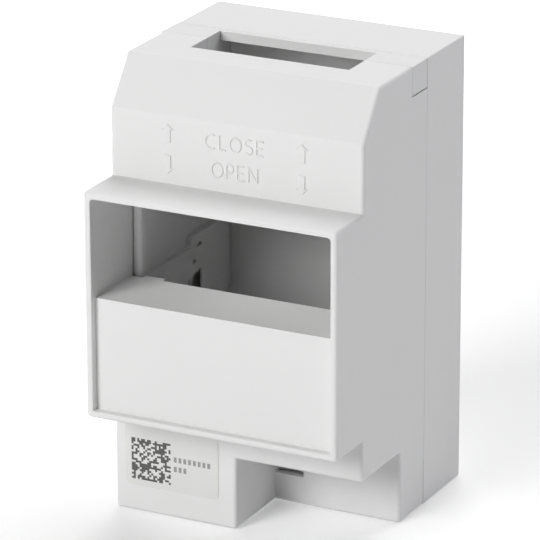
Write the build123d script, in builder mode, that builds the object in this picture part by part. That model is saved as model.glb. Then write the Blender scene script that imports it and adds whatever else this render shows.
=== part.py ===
from build123d import *
import os

# Housing for a 35 mm top-hat rail, three modules wide: a rear shell with rail hooks, an inner
# frame snapped into it, a hood that slides down on the frame to open, and a sprung rail latch.
# Lengths are in millimetres. X runs across the housing, Z up, and the front faces -Y.
# The origin is the centre of the rail seat, on the flat back. Depths are measured forward from
# that back, rises upward from the bottom edge, and insets inward from a side face.

# Envelope
module_width = 17.5
module_count = 3
width = module_width * module_count
height = 90.0
cap_height = 45.0
rim_depth = 55.0
shoulder_depth = 44.0
roof_depth = 37.1
slope_drop = 9.3
seam_depth = 16.7
edge_round = 0.7
crease_round = 0.25

# Walls and clearances
hood_wall = 1.4
shell_wall = 2.0
frame_wall = 1.2
seat_gap = 0.15
slide_gap = 0.1
clip_gap = 0.2
seam_gap = 0.3

# Rim with its recessed panel and shelf
rim_corner = 0.7
panel_recess = 1.5
panel_wall = 1.5
panel_height = 23.7
shelf_reach = 13.8
tab_inset = 4.0
tab_width = 4.4
tab_reach = 1.2
gusset_size = 7.0
gusset_wall = 1.2
gusset_spacing = 24.0

# Tongue, step beside it and the outlet in the step
tongue_width = 26.0
step_depth = 27.4
step_drop = 8.0
outlet_width = 6.0
outlet_rise = 5.8
relief_height = 9.5
relief_size = 0.2

# Window in the roof, and the corner blocks and bar of the frame behind it
window_width = 33.0
window_front = 30.2
collar_height = 3.5
collar_wall = 1.2
block_depth = 23.3
block_height = 5.6
block_wall = 1.4
bar_depth = 18.2
bar_wall = 1.8

# Side plates of the frame, with a pocket over a ledge that steps up at the back
plate_front = 39.0
plate_drop = 10.0
plate_round = 0.8
pocket_sink = 1.1
pocket_back = 7.0
rim_band = 1.8
ledge_drop = 0.6
step_back = 18.6
step_rise = 1.9
step_round = 0.8
slot_height = 0.8
slot_lengths = (1.8, 1.5)
slot_depths = (15.2, 17.4)
slot_drops = (1.0, 4.0)
notch_back = 14.4
notch_front = 18.6
notch_drop = 6.0
notch_height = 10.0
notch_slope = 0.9
niche_front = 21.7
web_depth = 11.0
web_drop = 14.0
web_height = 11.5
tie_depth = 5.0
tie_width = 10.0

# Channel in the shell's side wall behind the notch and the slots
channel_sink = 1.2
channel_back = 8.0
channel_front = 15.9
channel_sag = 4.0
channel_skin = 0.4

# Slide of the hood
hood_travel = 4.0
lug_length = 2.6
lug_height = 1.6
lug_depths = (30.0, 21.0)
lug_drop = 6.0
lug_lift = 5.5

# Snap legs of the frame in the back of the shell
leg_margin = 10.0
leg_height = 6.0
barb_reach = 0.35
barb_length = 0.8
leg_sink = 0.2
recess_depth = 1.1

# Rail, its hooks and the latch
rail_height = 35.0
rail_wall = 1.0
rail_play = 0.25
hook_overlap = 2.6
hook_wall = 2.1
hook_height = 3.0
hook_width = 8.0
hook_spacing = 30.0
hook_lead = 0.8
latch_travel = 4.0
latch_width = 12.0
latch_bottom = 0.5
flange_width = 1.5
flange_wall = 1.6
flange_drop = 3.0
guide_wall = 1.5
guide_drop = 1.0
pull_width = 6.0
pull_height = 2.0
pull_web = 1.7

# Coil spring behind the latch's window
spring_wire = 0.4
spring_diameter = 2.7
spring_length = 9.0
spring_turns = 6
wire_sides = 8
lug_wall = 2.0
latch_window = 3.6

# Sticker on the tongue
label_width = 20.0
label_drop = 2.1
label_inset = 2.2
label_rise = 5.4
label_wall = 0.12
label_corner = 1.2

# Values that follow from the ones above
bottom = -height / 2
half_width = width / 2
inner_half = half_width - hood_wall
rim_bottom = (height - cap_height) / 2
rim_top = rim_bottom + cap_height
hood_back = seam_depth + slide_gap
tongue_right = tongue_width - half_width
cut_height = rim_bottom - step_drop
panel_rise = rim_bottom + panel_height
panel_depth = rim_depth - panel_recess
shelf_back = panel_depth - shelf_reach
block_inset = (width - window_width) / 2
plate_outer = hood_wall + seat_gap
sleeve_outer = shell_wall + seat_gap
plate_inner = sleeve_outer + frame_wall
plate_back = shell_wall + clip_gap
plate_top = height - plate_drop
ledge_rise = panel_rise - ledge_drop
upper_ledge_rise = ledge_rise + step_rise
notch_top = panel_rise - notch_drop
notch_bottom = notch_top - notch_height
niche_top = notch_top - notch_slope
channel_rises = (notch_bottom - channel_sag, ledge_rise + step_rise / 2)
web_rise = panel_rise - web_drop
lug_rises = (plate_top - lug_drop, cut_height + lug_lift)
leg_rises = (leg_margin, height - leg_margin)
label_height = rim_bottom - label_drop - label_rise
rail_top = rail_height / 2
hook_back = rail_wall + rail_play + hook_wall
tolerance = 1e-3


def point(depth, rise):
    """Place in a side view, as local coordinates of a plane parallel to YZ."""
    return (-depth, bottom + rise)


def side_rectangle(depths, rises, mode=Mode.ADD):
    """Rectangle in a side view, between two depths and two rises."""
    with Locations(point(sum(depths) / 2, sum(rises) / 2)):
        Rectangle(depths[1] - depths[0], rises[1] - rises[0], mode=mode)


def block(xs, depths, rises, mode=Mode.ADD):
    """Box between two values of X, two depths and two rises."""
    y, z = point(sum(depths) / 2, sum(rises) / 2)
    with Locations((sum(xs) / 2, y, z)):
        Box(xs[1] - xs[0], depths[1] - depths[0], rises[1] - rises[0], mode=mode)


def inset(distance):
    """X of a plane at a distance inside the left side face."""
    return distance - half_width


def body_outline(back):
    """Side view of the hood's body from a given rear depth, without its rim."""
    return [
        point(back, 0),
        point(back, height),
        point(roof_depth, height),
        point(shoulder_depth, height - slope_drop),
        point(shoulder_depth, 0),
    ]


def near(value, *targets):
    """Whether a value is at one of the targets."""
    return any(abs(value - target) < tolerance for target in targets)


def is_rounded(edge):
    """Whether an edge of the hood's outside bounds a side, the rim, the slope or the foot."""
    place = edge.center()
    at_side = near(place.X, -half_width, half_width)
    at_rim = near(place.Y, -rim_depth)
    at_slope = near(place.Y, -roof_depth) or near(place.Z, height / 2 - slope_drop)
    at_foot = near(place.Y, -shoulder_depth) and place.Z < bottom + cut_height + tolerance
    at_bottom = near(place.Z, bottom)
    return (at_side or at_rim or at_slope or at_foot or at_bottom) and place.Y < -hood_back - tolerance


# Inside of the hood, as the core of its mould
with BuildPart() as hood_core:
    with BuildSketch(Plane.YZ.offset(-inner_half)):
        with BuildLine():
            Polyline(*body_outline(seam_depth - 2 * hood_wall), close=True)
        make_face()
        offset(amount=-hood_wall, kind=Kind.INTERSECTION)
    extrude(amount=2 * inner_half)
    block(
        (tongue_right - hood_wall, half_width),
        (step_depth - hood_wall, rim_depth),
        (0, cut_height + hood_wall),
        Mode.SUBTRACT,
    )
    with BuildSketch(Plane.XZ.offset(shoulder_depth - 2 * hood_wall)) as opening:
        Rectangle(2 * inner_half, cap_height - 2 * hood_wall)
        fillet(opening.vertices().group_by(Axis.Y)[-1], radius=rim_corner)
    extrude(amount=rim_depth - shoulder_depth + 3 * hood_wall)

# Hood: body with sloped shoulder, rim, panel, shelf, roof window, tongue and outlet
with BuildPart() as front_housing:
    with BuildSketch(Plane.YZ.offset(-half_width)):
        with BuildLine():
            Polyline(*body_outline(hood_back), close=True)
        make_face()
        side_rectangle((shoulder_depth - hood_wall, rim_depth), (rim_bottom, rim_top))
    extrude(amount=width)
    block(
        (tongue_right, half_width),
        (step_depth, shoulder_depth),
        (0, cut_height),
        Mode.SUBTRACT,
    )
    fillet(front_housing.edges().filter_by(is_rounded), radius=edge_round)
    add(hood_core.part, mode=Mode.SUBTRACT)
    fillet(front_housing.faces().sort_by(Axis.Y)[0].inner_wires()[0].edges(), radius=crease_round)

    # Panel and shelf, tied by two gussets
    with BuildSketch(Plane.YZ.offset(-inner_half - hood_wall / 2)) as panel:
        side_rectangle((panel_depth - panel_wall, panel_depth), (rim_bottom + hood_wall / 2, panel_rise))
        side_rectangle((shelf_back, panel_depth), (panel_rise - panel_wall, panel_rise))
        fillet(panel.vertices().group_by(Axis.Y)[0].sort_by(Axis.Z)[-1], radius=crease_round)
    extrude(amount=2 * inner_half + hood_wall)
    with BuildSketch(Plane.YZ) as gusset:
        with BuildLine():
            Polyline(
                point(panel_depth - panel_wall, panel_rise - panel_wall),
                point(panel_depth - panel_wall - gusset_size, panel_rise - panel_wall),
                point(panel_depth - panel_wall, panel_rise - panel_wall - gusset_size),
                close=True,
            )
        make_face()
    for x in (-gusset_spacing / 2, gusset_spacing / 2):
        extrude(Pos(x, 0, 0) * gusset.sketch, amount=gusset_wall / 2, both=True)
    tab = inset(tab_inset)
    for xs in ((tab, tab + tab_width), (-tab - tab_width, -tab)):
        block(xs, (shelf_back - tab_reach, shelf_back + panel_wall), (panel_rise - panel_wall, panel_rise))

    # Collar of the window, room for the frame's corner blocks, and the window itself
    block(
        (-window_width / 2 - collar_wall, window_width / 2 + collar_wall),
        (block_depth + slide_gap, window_front + collar_wall),
        (height - collar_height, height - hood_wall / 2),
    )
    block(
        (-half_width, half_width),
        (seam_depth, block_depth + slide_gap),
        (height - block_height - seam_gap, height),
        Mode.SUBTRACT,
    )
    block(
        (-window_width / 2, window_width / 2),
        (seam_depth, window_front),
        (height - block_height, height),
        Mode.SUBTRACT,
    )

    # Outlet beside the tongue, and the relief at the foot of the seam
    block(
        (tongue_right, tongue_right + outlet_width),
        (step_depth - 2 * hood_wall, step_depth + hood_wall),
        (outlet_rise, cut_height),
        Mode.SUBTRACT,
    )
    block(
        (-half_width, half_width),
        (hood_back, hood_back + relief_size),
        (0, relief_height),
        Mode.SUBTRACT,
    )

    # Lugs that run in the slots of the frame
    lug_tip = plate_outer + frame_wall + seat_gap
    for depth, rise in zip(lug_depths, lug_rises):
        for xs in (
            (inset(hood_wall / 2), inset(lug_tip)),
            (-inset(lug_tip), -inset(hood_wall / 2)),
        ):
            block(xs, (depth, depth + lug_length), (rise, rise + lug_height))
front_housing.part.label = "front_housing"

# Rear shell with the rail hooks, the guide of the latch and the seat of its spring
with BuildPart() as rear_housing:
    block((-half_width, half_width), (0, seam_depth), (0, height))
    fillet(rear_housing.edges().filter_by(Axis.Y), radius=crease_round)
    fillet(rear_housing.faces().sort_by(Axis.Y)[-1].edges(), radius=crease_round)
    block(
        (shell_wall - half_width, half_width - shell_wall),
        (shell_wall, seam_depth),
        (shell_wall, height - shell_wall),
        Mode.SUBTRACT,
    )
    chamfer(rear_housing.faces().sort_by(Axis.Y)[0].outer_wire().edges(), length=slide_gap)

    # Channel behind the notch and slots of each side plate
    for xs in (
        (inset(shell_wall - channel_sink), inset(shell_wall)),
        (-inset(shell_wall), -inset(shell_wall - channel_sink)),
    ):
        block(xs, (channel_back, channel_front), channel_rises, Mode.SUBTRACT)

    # Openings for the snap legs, stepped for their barbs
    slot_end = plate_inner + seat_gap
    for rise in leg_rises:
        for xs, recess_xs in (
            (
                (inset(shell_wall), inset(slot_end)),
                (inset(shell_wall), inset(slot_end + barb_reach + seat_gap)),
            ),
            (
                (-inset(slot_end), -inset(shell_wall)),
                (-inset(slot_end + barb_reach + seat_gap), -inset(shell_wall)),
            ),
        ):
            rises = (rise - seat_gap, rise + leg_height + seat_gap)
            block(xs, (0, shell_wall), rises, Mode.SUBTRACT)
            block(recess_xs, (0, recess_depth), rises, Mode.SUBTRACT)

    # Fixed hooks over the upper flange of the rail
    with BuildSketch(Plane.YZ) as hook:
        with BuildLine():
            Polyline(
                (0, rail_top + rail_play),
                (rail_wall + rail_play, rail_top + rail_play),
                (rail_wall + rail_play, rail_top - hook_overlap),
                (hook_back - hook_lead, rail_top - hook_overlap - hook_lead / 2),
                (hook_back, rail_top - hook_overlap + hook_lead),
                (hook_back, rail_top + hook_height),
                (0, rail_top + hook_height + hook_back / 2),
                close=True,
            )
        make_face()
    for x in (-hook_spacing / 2, hook_spacing / 2):
        extrude(Pos(x, 0, 0) * hook.sketch, amount=hook_width / 2, both=True)

    # Guide of the latch: two walls with lips over its flanges
    guide_inner = latch_width / 2 + flange_width + seat_gap
    lip_inner = latch_width / 2 + seat_gap
    guide_height = height / 2 - latch_bottom - rail_top - guide_drop
    with BuildSketch(Plane.XY.offset(bottom + latch_bottom)) as guide:
        with BuildLine():
            Polyline(
                (guide_inner, 0),
                (guide_inner, flange_wall + 2 * seat_gap),
                (lip_inner, flange_wall + 2 * seat_gap),
                (lip_inner, hook_back),
                (guide_inner + guide_wall, hook_back),
                (guide_inner + guide_wall, 0),
                close=True,
            )
        make_face()
    extrude(guide.sketch, amount=guide_height)
    extrude(mirror(guide.sketch, about=Plane.YZ, mode=Mode.PRIVATE), amount=guide_height)

    # Seat of the latch's spring
    spring_top = -rail_top - latch_travel - latch_bottom
    seat_top = spring_top - spring_length
    seat_half = latch_window / 2 - seat_gap
    with Locations((0, (hook_back - seat_gap) / 2, seat_top - lug_wall / 2)):
        Box(2 * seat_half, hook_back - seat_gap, lug_wall)
rear_housing.part.label = "rear_housing"

# Inner frame: side plates with pocket, ledge and slots, corner blocks, bar and snap legs
with BuildPart() as inner_frame:
    # Plate that the hood slides on
    with BuildSketch(Plane.YZ.offset(inset(plate_outer))):
        side_rectangle((hood_back + seat_gap, plate_front), (plate_back, plate_top))
        side_rectangle(
            (step_depth - hood_wall - seat_gap, plate_front),
            (0, cut_height + hood_wall + 2 * slide_gap),
            Mode.SUBTRACT,
        )
    extrude(amount=plate_inner - plate_outer)
    fillet(inner_frame.faces().sort_by(Axis.Y)[0].edges().filter_by(Axis.Z), radius=plate_round)

    # Sleeve that sits inside the shell and carries the corner block
    with BuildSketch(Plane.YZ.offset(inset(sleeve_outer))):
        side_rectangle((plate_back, hood_back + 2 * frame_wall), (plate_back, height - plate_back))
        side_rectangle((hood_back, block_depth), (plate_top - frame_wall, height - block_height + frame_wall))
        side_rectangle((plate_back, web_depth), (web_rise - web_height, web_rise), Mode.SUBTRACT)
        side_rectangle(
            (pocket_back, hood_back + seat_gap),
            (upper_ledge_rise, plate_top - rim_band),
            Mode.SUBTRACT,
        )
    extrude(amount=plate_inner - sleeve_outer)

    # Pocket over the stepped ledge
    with BuildSketch(Plane.YZ.offset(inset(plate_inner - pocket_sink))) as pocket:
        with BuildLine():
            Polyline(
                point(plate_front - rim_band, ledge_rise),
                point(step_back, ledge_rise),
                point(step_back, upper_ledge_rise),
                point(pocket_back, upper_ledge_rise),
                point(pocket_back, plate_top - rim_band),
                point(plate_front - rim_band, plate_top - rim_band),
                close=True,
            )
        make_face()
        step_corner = pocket.vertices().sort_by_distance(point(step_back, upper_ledge_rise))[0]
        fillet(step_corner, radius=step_round)
    extrude(amount=pocket_sink, mode=Mode.SUBTRACT)

    # Notch with a niche in front of it, and the two small slots
    with BuildSketch(Plane.YZ.offset(inset(plate_outer))):
        with BuildLine():
            Polyline(
                point(notch_back, notch_bottom),
                point(notch_back, notch_top),
                point(notch_front, niche_top),
                point(notch_front, notch_bottom),
                close=True,
            )
        make_face()
        for length, depth, drop in zip(slot_lengths, slot_depths, slot_drops):
            with Locations(point(depth, panel_rise - drop)):
                SlotOverall(length, slot_height)
    extrude(amount=plate_inner - plate_outer, mode=Mode.SUBTRACT)
    block(
        (inset(plate_inner - pocket_sink), inset(plate_inner)),
        (notch_front, niche_front),
        (notch_bottom, niche_top),
        Mode.SUBTRACT,
    )

    # Hollow behind the notch and the slots, which opens on the channel
    for depths, rises in (
        ((web_depth + frame_wall, channel_front), channel_rises),
        ((channel_front, notch_front), (channel_rises[0], ledge_rise - step_rise)),
    ):
        block((inset(plate_outer), inset(plate_inner - channel_skin)), depths, rises, Mode.SUBTRACT)

    # Slots that the hood's lugs run in
    for depth, rise in zip(lug_depths, lug_rises):
        block(
            (inset(plate_outer), inset(plate_inner)),
            (depth - seat_gap, depth + lug_length + seat_gap),
            (rise - hood_travel - slide_gap, rise + lug_height + slide_gap),
            Mode.SUBTRACT,
        )

    # Snap legs with their barbs
    for rise in leg_rises:
        block(
            (inset(sleeve_outer), inset(plate_inner)),
            (leg_sink, plate_back + frame_wall),
            (rise, rise + leg_height),
        )
        block(
            (inset(plate_inner), inset(plate_inner + barb_reach)),
            (leg_sink, leg_sink + barb_length),
            (rise, rise + leg_height),
        )

    # Corner block, hollow from below
    block(
        (-half_width, inset(block_inset)),
        (seam_depth + seam_gap, block_depth),
        (height - block_height, height),
    )
    block(
        (inset(plate_inner), inset(block_inset - block_wall)),
        (seam_depth + seam_gap + block_wall, block_depth - block_wall),
        (height - block_height, height - bar_wall),
        Mode.SUBTRACT,
    )
    mirror(about=Plane.YZ)

    # Bar behind the window and tie along the shell's floor
    block(
        (inset(block_inset) - frame_wall, -inset(block_inset) + frame_wall),
        (seam_depth + seam_gap, bar_depth),
        (height - bar_wall, height),
    )
    block(
        (inset(sleeve_outer), -inset(sleeve_outer)),
        (tie_depth, tie_depth + tie_width),
        (plate_back, plate_back + frame_wall),
    )
inner_frame.part.label = "inner_frame"

# Latch: a flanged slider whose nose reaches behind the lower flange of the rail
with BuildPart() as rail_latch:
    latch_top = -rail_top - rail_play
    with BuildSketch(Plane.YZ.offset(-latch_width / 2)):
        with BuildLine():
            Polyline(
                (seat_gap, bottom + latch_bottom),
                (seat_gap, latch_top),
                (rail_wall + rail_play, latch_top),
                (rail_wall + rail_play, hook_overlap - rail_top),
                (hook_back - hook_lead, hook_overlap + hook_lead / 2 - rail_top),
                (hook_back, hook_overlap - hook_lead - rail_top),
                (hook_back, bottom + latch_bottom),
                close=True,
            )
        make_face()
    extrude(amount=latch_width)
    flange_half = latch_width / 2 + flange_width
    flange_low = bottom + latch_bottom + latch_travel
    flange_height = -rail_top - flange_drop - flange_low
    with Locations((0, seat_gap + flange_wall / 2, flange_low + flange_height / 2)):
        Box(2 * flange_half, flange_wall, flange_height)
    window_low = seat_top - lug_wall - slide_gap
    with BuildSketch(Plane.XZ):
        with Locations((0, (spring_top + window_low) / 2)):
            Rectangle(latch_window, spring_top - window_low)
        with Locations((0, bottom + latch_bottom + pull_web + pull_height / 2)):
            RectangleRounded(pull_width, pull_height, pull_height / 4)
    extrude(amount=-2 * hook_back, mode=Mode.SUBTRACT)
rail_latch.part.label = "rail_latch"

# Coil spring between its seat and the top of the latch's window
with BuildPart() as latch_spring:
    spring_radius = (spring_diameter - spring_wire) / 2
    spring_rise = spring_length - spring_wire - 2 * slide_gap
    spring_start = seat_top + slide_gap + spring_wire / 2
    spring_centre = (0, hook_back / 2, spring_start)
    with BuildLine() as coil:
        Helix(
            pitch=spring_rise / spring_turns,
            height=spring_rise,
            radius=spring_radius,
            center=spring_centre,
        )
    with BuildSketch(Plane(origin=coil.line @ 0, z_dir=coil.line % 0)):
        RegularPolygon(spring_wire / 2, wire_sides)
    sweep()
latch_spring.part.label = "latch_spring"

# Sticker on the tongue
with BuildPart() as label:
    with BuildSketch(Plane.XZ.offset(shoulder_depth)):
        with Locations((inset(label_inset) + label_width / 2, bottom + label_rise + label_height / 2)):
            RectangleRounded(label_width, label_height, label_corner)
    extrude(amount=label_wall)
label.part.label = "label"

os.makedirs("parts", exist_ok=True)
for piece in (front_housing, rear_housing, inner_frame, rail_latch, latch_spring, label):
    export_step(piece.part, f"parts/{piece.part.label}.step")
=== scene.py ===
import math
import random

import bmesh
import bpy
from mathutils import Matrix, Vector


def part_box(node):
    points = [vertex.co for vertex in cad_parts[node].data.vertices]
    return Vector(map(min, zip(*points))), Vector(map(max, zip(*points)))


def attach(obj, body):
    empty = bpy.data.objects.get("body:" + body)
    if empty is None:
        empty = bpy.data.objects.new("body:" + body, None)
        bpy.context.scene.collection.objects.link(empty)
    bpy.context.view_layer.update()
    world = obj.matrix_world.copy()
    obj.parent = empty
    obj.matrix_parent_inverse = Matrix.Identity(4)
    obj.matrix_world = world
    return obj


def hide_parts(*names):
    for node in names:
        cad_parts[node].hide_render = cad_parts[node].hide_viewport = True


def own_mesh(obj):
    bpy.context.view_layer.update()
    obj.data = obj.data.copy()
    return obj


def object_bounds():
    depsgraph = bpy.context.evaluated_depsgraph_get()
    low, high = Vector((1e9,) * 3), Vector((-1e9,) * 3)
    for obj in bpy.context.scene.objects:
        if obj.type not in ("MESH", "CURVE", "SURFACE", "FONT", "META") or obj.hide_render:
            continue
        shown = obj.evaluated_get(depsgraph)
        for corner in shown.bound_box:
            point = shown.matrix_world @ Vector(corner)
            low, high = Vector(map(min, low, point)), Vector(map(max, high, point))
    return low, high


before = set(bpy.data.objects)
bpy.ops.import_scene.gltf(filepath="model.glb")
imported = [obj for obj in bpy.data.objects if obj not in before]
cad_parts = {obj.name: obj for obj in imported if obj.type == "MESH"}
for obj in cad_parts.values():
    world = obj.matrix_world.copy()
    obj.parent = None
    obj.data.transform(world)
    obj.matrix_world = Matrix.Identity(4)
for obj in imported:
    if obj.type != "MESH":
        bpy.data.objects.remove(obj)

# Looks of a light grey rail housing: moulded plastic with a fine spark-eroded grain, raised words
# and arrows on the hood, a printed sticker, the coil of the latch, a soft studio and the camera.
# Lengths are written in millimetres and turned into metres by MM.
MM = 0.001
cad_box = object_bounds()

# Camera, in degrees and millimetres
camera_azimuth = 26.90
camera_elevation = 19.70
camera_roll = -0.15
camera_distance = 807.5
camera_target = Vector((-0.48, -29.12, 2.79))
camera_lens = 284.0
camera_near = 50.0
camera_far = 20000.0

# Floor: its grey to the light, and a glow for the camera that grows to white with the distance
floor_size = 4000.0
floor_grey = 0.88
floor_roughness = 0.9
floor_shine = 0.1
floor_glow = 0.16
glow_start = 180.0
glow_end = 600.0
floor_gap = 0.05
contact = 1.0

# Studio: a key from the front, a top light from behind and a weak cool light from the right, each
# with its azimuth from the front, elevation, size, power and tint
lamp_distance = 1500.0
lamps = {
    "key": (-20, 25, 840.0, 15.5, (1.0, 1.0, 1.0)),
    "top": (186, 62, 1200.0, 15.0, (1.0, 1.0, 1.0)),
    "side": (106, 23, 1000.0, 5.2, (0.985, 0.982, 1.035)),
}
sky_level = 0.02
under_level = 0.45
sky_tint = (0.985, 0.992, 1.0)

# Colours, linear, and the range that a noise value is spread from
hood_grey = (0.800, 0.800, 0.796)
frame_grey = (0.780, 0.781, 0.776)
film_grey = (0.757, 0.758, 0.742)
ink_grey = (0.095, 0.095, 0.090)
faint_ink_grey = (0.320, 0.320, 0.310)
steel_grey = (0.560, 0.555, 0.545)
noise_low = 0.3
noise_high = 0.7

# Raised words and arrows on the face above the rim
cap_height = 3.2
stroke_width = 0.42
relief = 0.20
relief_sink = 0.08
relief_chamfer = 0.14
letter_gap = 0.455
words_centre = -0.25
close_baseline = 30.45
open_baseline = 25.1
arrow_spacing = 27.9
arrow_length = 3.75
arrow_head = 1.23
arrow_half_head = 1.32
arrow_half_shaft = 0.70
up_arrow_top = 34.3
down_arrow_bottom = 24.4
letter_widths = {"C": 2.05, "L": 1.30, "O": 2.25, "S": 1.50, "E": 1.45, "P": 1.35, "N": 1.80}
arc_steps = 14
ring_steps = 32
mitre_limit = 0.5
same_point = 1e-6

# Coil of the latch's spring, with closed turns at both ends
wire = 0.4
closed_turns = 1
open_turns = 5
turn_steps = 36
wire_sides = 12

# Print on the sticker
print_wall = 0.012
block_left = 1.35
block_bottom = 1.3
block_size = 8.45
block_cells = 20
block_fill = 0.52
block_seed = 7
row_left = 10.5
row_pitch = 1.03
row_mark = (0.62, 1.05)
row_marks = ((6.15, 8), (4.2, 3))


def new_material(name):
    """Node material, its tree and its main shader."""
    material = bpy.data.materials.new(name)
    material.use_nodes = True
    tree = material.node_tree
    return material, tree, tree.nodes["Principled BSDF"]


def noise(tree, scale, detail=2.0, offset=0.0):
    """Noise over the object's own coordinates, at a number of features a metre."""
    place = tree.nodes.new("ShaderNodeTexCoord")
    shift = tree.nodes.new("ShaderNodeVectorMath")
    shift.operation = "ADD"
    shift.inputs[1].default_value = (offset, offset, offset)
    texture = tree.nodes.new("ShaderNodeTexNoise")
    texture.inputs["Scale"].default_value = scale
    texture.inputs["Detail"].default_value = detail
    tree.links.new(place.outputs["Object"], shift.inputs[0])
    tree.links.new(shift.outputs[0], texture.inputs["Vector"])
    return texture.outputs["Fac"]


def ranged(tree, value, low, high, start=noise_low, end=noise_high):
    """A value between start and end, spread between two other numbers."""
    spread = tree.nodes.new("ShaderNodeMapRange")
    spread.inputs["From Min"].default_value = start
    spread.inputs["From Max"].default_value = end
    spread.inputs["To Min"].default_value = low
    spread.inputs["To Max"].default_value = high
    tree.links.new(value, spread.inputs["Value"])
    return spread.outputs["Result"]


def combined(tree, operation, first, second):
    """Two values of a tree put through one operation; the second may be a number."""
    node = tree.nodes.new("ShaderNodeMath")
    node.operation = operation
    tree.links.new(first, node.inputs[0])
    if isinstance(second, float):
        node.inputs[1].default_value = second
    else:
        tree.links.new(second, node.inputs[1])
    return node.outputs[0]


def mixed(tree, share, first, second):
    """Shader that turns from the first into the second with a share."""
    mix = tree.nodes.new("ShaderNodeMixShader")
    for socket, value in zip(mix.inputs, (share, first, second)):
        tree.links.new(value, socket)
    return mix.outputs[0]


def mottled(tree, colour, spread, value):
    """A colour that drifts by a small share around itself."""
    mix = tree.nodes.new("ShaderNodeMix")
    mix.data_type = "RGBA"
    mix.inputs["A"].default_value = [c * (1 - spread) for c in colour] + [1]
    mix.inputs["B"].default_value = [c * (1 + spread) for c in colour] + [1]
    tree.links.new(value, mix.inputs["Factor"])
    return mix.outputs["Result"]


def grain_bump(tree, shader, heights):
    """Bump from several noises, each with its strength and its depth in millimetres."""
    normal = None
    for value, strength, depth in heights:
        bump = tree.nodes.new("ShaderNodeBump")
        bump.inputs["Strength"].default_value = strength
        bump.inputs["Distance"].default_value = depth * MM
        tree.links.new(value, bump.inputs["Height"])
        if normal:
            tree.links.new(normal, bump.inputs["Normal"])
        normal = bump.outputs["Normal"]
    tree.links.new(normal, shader.inputs["Normal"])


def moulded_plastic(name, colour, offset, roughness=0.5, grain=0.5):
    """Light grey polycarbonate with a fine eroded grain, slow sink and a slight cloudiness."""
    drift, smoother, rougher, shine = 0.012, 0.05, 0.06, 0.42
    cloud_scale, matt_scale, sink_scale, grain_scale = 45, 700, 30, 2600
    sink, sink_depth, grain_depth = 0.35, 0.12, 0.02
    material, tree, shader = new_material(name)
    cloud = mottled(tree, colour, drift, noise(tree, cloud_scale, 3, offset))
    tree.links.new(cloud, shader.inputs["Base Color"])
    patches = noise(tree, matt_scale, 2, offset)
    matt = ranged(tree, patches, roughness - smoother, roughness + rougher)
    tree.links.new(matt, shader.inputs["Roughness"])
    shader.inputs["Specular IOR Level"].default_value = shine
    grain_bump(tree, shader, (
        (noise(tree, sink_scale, 1, offset), sink, sink_depth),
        (noise(tree, grain_scale, 3, offset), grain, grain_depth),
    ))
    return material


def drawn_steel(name, colour):
    """Spring wire with fine lines from drawing."""
    drift, smooth, rough = 0.06, 0.22, 0.38
    cloud_scale, matt_scale, line_scale = 1500, 4000, 5000
    lines, line_depth = 0.3, 0.01
    material, tree, shader = new_material(name)
    shader.inputs["Metallic"].default_value = 1.0
    cloud = mottled(tree, colour, drift, noise(tree, cloud_scale, 2))
    tree.links.new(cloud, shader.inputs["Base Color"])
    matt = ranged(tree, noise(tree, matt_scale, 3), smooth, rough)
    tree.links.new(matt, shader.inputs["Roughness"])
    grain_bump(tree, shader, ((noise(tree, line_scale, 2), lines, line_depth),))
    return material


def satin_film(name, colour):
    """Sticker film with a faint orange peel and a satin face."""
    drift, smooth, rough, offset = 0.010, 0.34, 0.44, 3.0
    cloud_scale, matt_scale, peel_scale = 120, 500, 900
    peel, peel_depth = 0.25, 0.01
    material, tree, shader = new_material(name)
    cloud = mottled(tree, colour, drift, noise(tree, cloud_scale, 2, offset))
    tree.links.new(cloud, shader.inputs["Base Color"])
    matt = ranged(tree, noise(tree, matt_scale, 2, offset), smooth, rough)
    tree.links.new(matt, shader.inputs["Roughness"])
    grain_bump(tree, shader, ((noise(tree, peel_scale, 2, offset), peel, peel_depth),))
    return material


def print_ink(name, colour):
    """Thermal print with slightly uneven cover."""
    drift, smooth, rough, offset = 0.16, 0.5, 0.65, 5.0
    cover_scale, matt_scale = 2200, 1800
    material, tree, shader = new_material(name)
    cover = mottled(tree, colour, drift, noise(tree, cover_scale, 3, offset))
    tree.links.new(cover, shader.inputs["Base Color"])
    matt = ranged(tree, noise(tree, matt_scale, 2, offset), smooth, rough)
    tree.links.new(matt, shader.inputs["Roughness"])
    return material


def add_piece(name, mesh, material, body):
    """Object from a bmesh, on a body and with a finish of the record."""
    data = bpy.data.meshes.new(name)
    bmesh.ops.recalc_face_normals(mesh, faces=mesh.faces)
    mesh.to_mesh(data)
    mesh.free()
    piece = bpy.data.objects.new(name, data)
    bpy.context.scene.collection.objects.link(piece)
    data.materials.append(material)
    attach(piece, body)
    return piece


# Finishes of the six nodes
hood_material = moulded_plastic("hood_moulding", hood_grey, 0.0)
node_materials = {
    "front_housing": hood_material,
    "rear_housing": moulded_plastic("shell_moulding", hood_grey, 1.0),
    "inner_frame": moulded_plastic("frame_moulding", frame_grey, 2.0, roughness=0.46, grain=0.35),
    "rail_latch": moulded_plastic("latch_moulding", frame_grey, 4.0, roughness=0.42, grain=0.3),
    "latch_spring": drawn_steel("spring_wire", steel_grey),
    "label": satin_film("sticker_film", film_grey),
}
for node, material in node_materials.items():
    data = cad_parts[node].data
    data.materials.clear()
    data.materials.append(material)


def arc(centre, radii, start, end, steps=arc_steps):
    """Points of an elliptic arc, angles in degrees from the right."""
    points = []
    for step in range(steps + 1):
        angle = math.radians(start + (end - start) * step / steps)
        points.append((centre[0] + radii[0] * math.cos(angle), centre[1] + radii[1] * math.sin(angle)))
    return points


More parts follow.
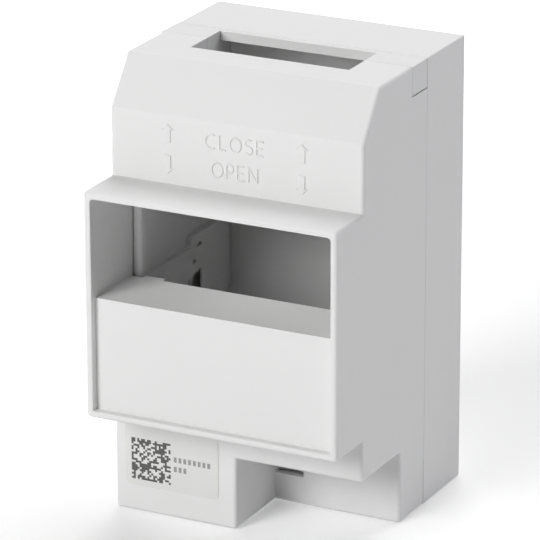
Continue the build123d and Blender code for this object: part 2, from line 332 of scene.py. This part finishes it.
def glyph(letter, width, height):
    """Centre lines of a letter: strokes of its first solid and strokes to be joined to them."""
    w, h = width, height
    if letter == "C":
        return [arc((w * 0.62, h / 2), (w * 0.62, h / 2), 58, 302)], []
    if letter == "L":
        return [[(0, h), (0, 0), (w, 0)]], []
    if letter == "O":
        return [arc((w / 2, h / 2), (w / 2, h / 2), 0, 360, ring_steps)], []
    if letter == "S":
        upper = arc((w / 2, h * 0.75), (w / 2, h * 0.25), 40, 225)
        lower = arc((w / 2, h * 0.26), (w / 2, h * 0.26), 50, -140)
        return [upper + lower], []
    if letter == "E":
        return [[(w, h), (0, h), (0, 0), (w, 0)]], [[(0, h * 0.52), (w * 0.86, h * 0.52)]]
    if letter == "P":
        bowl = [(0, h)] + arc((w * 0.45, h * 0.72), (w * 0.55, h * 0.28), 90, -90) + [(0, h * 0.44)]
        return [[(0, h), (0, 0)]], [bowl]
    if letter == "N":
        return [[(0, 0), (0, h)], [(w, 0), (w, h)]], [[(0, h), (w, 0)]]
    raise ValueError(letter)


def stroke(mesh, points, face_y):
    """Raised stroke along a centre line, with drafted shoulders, added to a mesh."""
    closed = (Vector(points[0]) - Vector(points[-1])).length < same_point
    line = [Vector(p) for p in (points[:-1] if closed else points)]
    half = stroke_width / 2
    section = (
        (-half, -relief_sink),
        (-half, relief - relief_chamfer),
        (relief_chamfer - half, relief),
        (half - relief_chamfer, relief),
        (half, relief - relief_chamfer),
        (half, -relief_sink),
    )
    rings = []
    for i, place in enumerate(line):
        before = line[i - 1] if i or closed else None
        after = line[(i + 1) % len(line)] if i < len(line) - 1 or closed else None
        first = (place - before).normalized() if before is not None else (after - place).normalized()
        last = (after - place).normalized() if after is not None else first
        along = (first + last).normalized()
        across = Vector((-along.y, along.x))
        mitre = 1 / max(along.dot(first), mitre_limit)
        rings.append([
            mesh.verts.new((
                (place.x + across.x * u * mitre) * MM,
                (face_y - v) * MM,
                (place.y + across.y * u * mitre) * MM,
            ))
            for u, v in section
        ])
    pairs = list(zip(rings, rings[1:] + rings[:1])) if closed else list(zip(rings, rings[1:]))
    for a, b in pairs:
        for k in range(len(section)):
            j = (k + 1) % len(section)
            mesh.faces.new((a[k], a[j], b[j], b[k]))
    if not closed:
        mesh.faces.new(rings[0])
        mesh.faces.new(list(reversed(rings[-1])))


def joined(name, first, second):
    """First mesh with the second one united into it."""
    holders = []
    for part, mesh in (("first", first), ("second", second)):
        data = bpy.data.meshes.new(f"{name}_{part}")
        bmesh.ops.recalc_face_normals(mesh, faces=mesh.faces)
        mesh.to_mesh(data)
        mesh.free()
        holders.append(bpy.data.objects.new(f"{name}_{part}", data))
        bpy.context.scene.collection.objects.link(holders[-1])
    union = holders[0].modifiers.new("union", "BOOLEAN")
    union.operation = "UNION"
    union.solver = "EXACT"
    union.object = holders[1]
    graph = bpy.context.evaluated_depsgraph_get()
    result = bmesh.new()
    result.from_object(holders[0], graph)
    for holder in holders:
        data = holder.data
        bpy.data.objects.remove(holder)
        bpy.data.meshes.remove(data)
    return result


def raised_word(name, word, baseline, face_y):
    """Raised word on the hood, centred between the arrows."""
    total = sum(letter_widths[letter] + stroke_width for letter in word) + letter_gap * (len(word) - 1)
    x = words_centre - total / 2 + stroke_width / 2
    first, second = bmesh.new(), bmesh.new()
    height = cap_height - stroke_width
    for letter in word:
        width = letter_widths[letter]
        for mesh, lines in zip((first, second), glyph(letter, width, height)):
            for points in lines:
                placed = [(x + px, baseline + stroke_width / 2 + py) for px, py in points]
                stroke(mesh, placed, face_y)
        x += width + stroke_width + letter_gap
    return add_piece(name, joined(name, first, second), hood_material, "hood")


def raised_arrow(name, centre, tip, way, face_y):
    """Raised block arrow with its tip at a height, pointing up (1) or down (-1)."""
    outline = [
        (0, 0),
        (arrow_half_head, -arrow_head),
        (arrow_half_shaft, -arrow_head),
        (arrow_half_shaft, -arrow_length),
        (-arrow_half_shaft, -arrow_length),
        (-arrow_half_shaft, -arrow_head),
        (-arrow_half_head, -arrow_head),
    ]
    mesh = bmesh.new()
    base = [
        mesh.verts.new(((centre + x) * MM, (face_y + relief_sink) * MM, (tip + way * z) * MM))
        for x, z in outline
    ]
    face = mesh.faces.new(base)
    raised = bmesh.ops.extrude_face_region(mesh, geom=[face])["geom"]
    tops = [v for v in raised if isinstance(v, bmesh.types.BMVert)]
    bmesh.ops.translate(mesh, verts=tops, vec=(0, -(relief + relief_sink) * MM, 0))
    rims = [e for e in mesh.edges if all(v in tops for v in e.verts)]
    bmesh.ops.bevel(mesh, geom=rims, offset=relief_chamfer * MM, segments=1, affect="EDGES")
    return add_piece(name, mesh, hood_material, "hood")


# Raised words and arrows on the hood's face
hood_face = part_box("label")[1].y / MM
raised_word("close_word", "CLOSE", close_baseline, hood_face)
raised_word("open_word", "OPEN", open_baseline, hood_face)
for side, name in ((-1, "left"), (1, "right")):
    centre = words_centre + side * arrow_spacing / 2
    raised_arrow(f"up_arrow_{name}", centre, up_arrow_top, 1, hood_face)
    raised_arrow(f"down_arrow_{name}", centre, down_arrow_bottom, -1, hood_face)


def printed(mesh, left, bottom, width, height, face_y):
    """Thin printed rectangle, added to a mesh."""
    size = Matrix.Diagonal((width * MM, print_wall * MM, height * MM, 1))
    centre = Vector((left + width / 2, face_y - print_wall / 2, bottom + height / 2))
    bmesh.ops.create_cube(mesh, size=1, matrix=Matrix.Translation(centre * MM) @ size)


# Generic print on the sticker: a block of plain squares and two rows of plain bars
label_low, label_high = (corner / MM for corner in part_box("label"))
draw = random.Random(block_seed)
cell = block_size / block_cells
block = bmesh.new()
for row in range(block_cells):
    column = 0
    while column < block_cells:
        run = 0
        while column + run < block_cells and draw.random() < block_fill:
            run += 1
        if run:
            printed(
                block,
                label_low.x + block_left + column * cell,
                label_low.z + block_bottom + row * cell,
                run * cell,
                cell,
                label_low.y,
            )
        column += run + 1
add_piece("print_block", block, print_ink("block_ink", ink_grey), "hood")

rows = bmesh.new()
for height, count in row_marks:
    for mark in range(count):
        left = label_low.x + row_left + mark * row_pitch
        printed(rows, left, label_low.z + height, row_mark[0], row_mark[1], label_low.y)
add_piece("print_rows", rows, print_ink("row_ink", faint_ink_grey), "hood")


def coil_spring(name, node):
    """Coil of round wire in place of a node, wound up from the node's lower end."""
    low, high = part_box(node)
    length = high.z - low.z
    radius = (high.x - low.x - wire * MM) / 2
    pitch = (length - (2 * closed_turns + 1) * wire * MM) / open_turns
    mesh = bmesh.new()
    rings = []
    for step in range((2 * closed_turns + open_turns) * turn_steps + 1):
        turn = step / turn_steps
        in_open = min(max(turn - closed_turns, 0), open_turns)
        climb = in_open * pitch + (turn - in_open + 0.5) * wire * MM
        angle = 2 * math.pi * turn
        outward = Vector((math.cos(angle), math.sin(angle), 0))
        place = Vector(((low.x + high.x) / 2, (low.y + high.y) / 2, low.z + climb)) + outward * radius
        ring = []
        for side in range(wire_sides):
            around = 2 * math.pi * side / wire_sides
            spoke = outward * math.cos(around) + Vector((0, 0, math.sin(around)))
            ring.append(mesh.verts.new(place + spoke * wire * MM / 2))
        rings.append(ring)
    for a, b in zip(rings, rings[1:]):
        for k in range(wire_sides):
            j = (k + 1) % wire_sides
            mesh.faces.new((a[k], a[j], b[j], b[k])).smooth = True
    mesh.faces.new(rings[0])
    mesh.faces.new(list(reversed(rings[-1])))
    piece = add_piece(name, mesh, node_materials[node], "base")
    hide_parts(node)
    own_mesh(piece)


coil_spring("spring_coil", "latch_spring")


def floor_paper():
    """Pale paper: white to the camera, and clear from below and where the object touches it."""
    material, tree, shader = new_material("floor_paper")
    rays = tree.nodes.new("ShaderNodeLightPath")
    camera_ray = rays.outputs["Is Camera Ray"]
    shader.inputs["Roughness"].default_value = floor_roughness
    shader.inputs["Specular IOR Level"].default_value = floor_shine
    shader.inputs["Emission Color"].default_value = (1, 1, 1, 1)
    paper = tree.nodes.new("ShaderNodeMix")
    paper.data_type = "RGBA"
    paper.inputs["A"].default_value = (floor_grey, floor_grey, floor_grey, 1)
    paper.inputs["B"].default_value = (1, 1, 1, 1)
    tree.links.new(camera_ray, paper.inputs["Factor"])
    tree.links.new(paper.outputs["Result"], shader.inputs["Base Color"])
    place = tree.nodes.new("ShaderNodeTexCoord")
    reach = tree.nodes.new("ShaderNodeVectorMath")
    reach.operation = "LENGTH"
    tree.links.new(place.outputs["Object"], reach.inputs[0])
    fade = ranged(tree, reach.outputs["Value"], floor_glow, 1.0, glow_start * MM, glow_end * MM)
    glow = combined(tree, "MULTIPLY", fade, camera_ray)
    tree.links.new(glow, shader.inputs["Emission Strength"])
    underside = tree.nodes.new("ShaderNodeNewGeometry")
    touching = combined(tree, "LESS_THAN", rays.outputs["Ray Length"], contact * MM)
    opened = combined(tree, "MAXIMUM", underside.outputs["Backfacing"], touching)
    clear = tree.nodes.new("ShaderNodeBsdfTransparent")
    surface = mixed(tree, opened, shader.outputs[0], clear.outputs[0])
    tree.links.new(surface, tree.nodes["Material Output"].inputs["Surface"])
    return material


# Plain pale floor, just under the object
floor_mesh = bmesh.new()
bmesh.ops.create_grid(floor_mesh, x_segments=4, y_segments=4, size=floor_size * MM / 2)
floor_data = bpy.data.meshes.new("floor")
floor_mesh.to_mesh(floor_data)
floor_mesh.free()
floor_data.materials.append(floor_paper())
floor = bpy.data.objects.new("floor", floor_data)
floor.location.z = cad_box[0].z - floor_gap * MM
bpy.context.scene.collection.objects.link(floor)
# The floor goes down with the hood, because the object then stands on the hood's tongue
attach(floor, "hood")


def softbox(name, azimuth, elevation, size, power, tint):
    """Round area lamp that looks at the object, placed by its angles from the front and the floor."""
    angle, climb = math.radians(azimuth), math.radians(elevation)
    direction = Vector((
        math.sin(angle) * math.cos(climb),
        -math.cos(angle) * math.cos(climb),
        math.sin(climb),
    ))
    light = bpy.data.lights.new(name, "AREA")
    light.shape = "DISK"
    light.size = size * MM
    light.energy = power
    light.color = tint
    lamp = bpy.data.objects.new(name, light)
    lamp.location = direction * lamp_distance * MM
    lamp.rotation_mode = "QUATERNION"
    lamp.rotation_quaternion = (-direction).to_track_quat("-Z", "Y")
    bpy.context.scene.collection.objects.link(lamp)


for name, placing in lamps.items():
    softbox(name, *placing)


def studio_sky():
    """White to the camera and in reflections; as a light, weak above the floor, stronger under it."""
    world = bpy.data.worlds.new("studio")
    world.use_nodes = True
    tree = world.node_tree
    ambient = tree.nodes["Background"]
    ambient.inputs["Color"].default_value = (*sky_tint, 1)
    way = tree.nodes.new("ShaderNodeTexCoord")
    parts = tree.nodes.new("ShaderNodeSeparateXYZ")
    tree.links.new(way.outputs["Generated"], parts.inputs[0])
    under = combined(tree, "LESS_THAN", parts.outputs["Z"], 0.0)
    level = ranged(tree, under, sky_level, under_level, 0.0, 1.0)
    tree.links.new(level, ambient.inputs["Strength"])
    white = tree.nodes.new("ShaderNodeBackground")
    white.inputs["Color"].default_value = (1, 1, 1, 1)
    white.inputs["Strength"].default_value = 1.0
    rays = tree.nodes.new("ShaderNodeLightPath")
    shiny = combined(tree, "MAXIMUM", rays.outputs["Is Glossy Ray"], rays.outputs["Is Transmission Ray"])
    seen = combined(tree, "MAXIMUM", rays.outputs["Is Camera Ray"], shiny)
    surface = mixed(tree, seen, ambient.outputs[0], white.outputs[0])
    tree.links.new(surface, tree.nodes["World Output"].inputs["Surface"])
    return world


bpy.context.scene.world = studio_sky()

# Camera
azimuth, elevation = math.radians(camera_azimuth), math.radians(camera_elevation)
back = Vector((
    math.sin(azimuth) * math.cos(elevation),
    -math.cos(azimuth) * math.cos(elevation),
    math.sin(elevation),
))
camera_data = bpy.data.cameras.new("camera")
camera_data.lens = camera_lens
camera_data.clip_start = camera_near * MM
camera_data.clip_end = camera_far * MM
camera = bpy.data.objects.new("camera", camera_data)
camera.location = (camera_target + back * camera_distance) * MM
camera.rotation_mode = "QUATERNION"
camera.rotation_quaternion = (
    (-back).to_track_quat("-Z", "Y").to_matrix() @ Matrix.Rotation(math.radians(camera_roll), 3, "Z")
).to_quaternion()
bpy.context.scene.collection.objects.link(camera)
bpy.context.scene.camera = camera
bpy.context.scene.view_settings.view_transform = "Standard"
